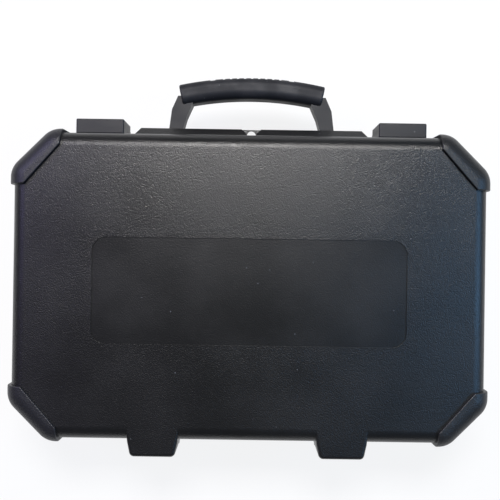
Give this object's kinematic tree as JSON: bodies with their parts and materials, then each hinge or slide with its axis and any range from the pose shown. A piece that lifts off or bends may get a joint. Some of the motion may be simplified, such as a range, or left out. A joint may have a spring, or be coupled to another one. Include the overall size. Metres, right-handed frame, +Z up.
{
  "type": "rotary tool carrying case",
  "caption": "Moulded carrying case for a rotary tool and its flex shaft, with hinged lid, snap latches, folding handle, corner guards and a nested tray inside.",
  "frame": {"origin": "centre of the whole footprint, feet and handle included, on the surface that the closed case lies on", "axes": "+X along the case's width, +Y from the hinge feet to the handle, +Z up through the lid"},
  "size_m": [0.4014, 0.3244, 0.114],
  "materials": {
    "shell_plastic": "fine pebbled texture",
    "guard_plastic": "fine pebbled texture",
    "latch_plastic": "fine texture",
    "handle_plastic": "satin",
    "grip_rubber": "soft, fine texture",
    "pin_steel": "drawn wire",
    "tray_plastic": "satin, vacuum formed",
    "box_plastic": "satin",
    "foam": "open-cell foam"
  },
  "bodies": {
    "base": {"base_shell": "shell_plastic", "base_guard_top_left": "guard_plastic", "base_guard_top_right": "guard_plastic", "base_guard_bottom_left": "guard_plastic", "base_guard_bottom_right": "guard_plastic", "tool_tray": "tray_plastic", "accessory_box": "box_plastic", "hinge_pin_left": "pin_steel", "hinge_pin_right": "pin_steel", "latch_pin_left": "pin_steel", "latch_pin_right": "pin_steel", "handle_pin_left": "pin_steel", "handle_pin_right": "pin_steel"},
    "lid": {"lid_shell": "shell_plastic", "lid_guard_top_left": "guard_plastic", "lid_guard_top_right": "guard_plastic", "lid_guard_bottom_left": "guard_plastic", "lid_guard_bottom_right": "guard_plastic", "lid_foam": "foam"},
    "handle": {"handle_frame": "handle_plastic", "handle_grip": "grip_rubber"},
    "latch_left": {"latch_left": "latch_plastic"},
    "latch_right": {"latch_right": "latch_plastic"}
  },
  "joints": [
    {"name": "lid_hinge", "type": "hinge", "parent": "base", "child": "lid", "pos_m": [0, -0.15675, 0.064], "axis": [1, 0, 0], "range_deg": [0, 98]},
    {"name": "handle_swing", "type": "hinge", "parent": "base", "child": "handle", "pos_m": [0, 0.10905, 0.0534], "axis": [-1, 0, 0], "range_deg": [0, 90]},
    {"name": "latch_left_turn", "type": "hinge", "parent": "base", "child": "latch_left", "pos_m": [-0.1315, 0.11155, 0.044], "axis": [-1, 0, 0], "range_deg": [0, 105]},
    {"name": "latch_right_turn", "type": "hinge", "parent": "base", "child": "latch_right", "pos_m": [0.1315, 0.11155, 0.044], "axis": [-1, 0, 0], "range_deg": [0, 105]}
  ]
}
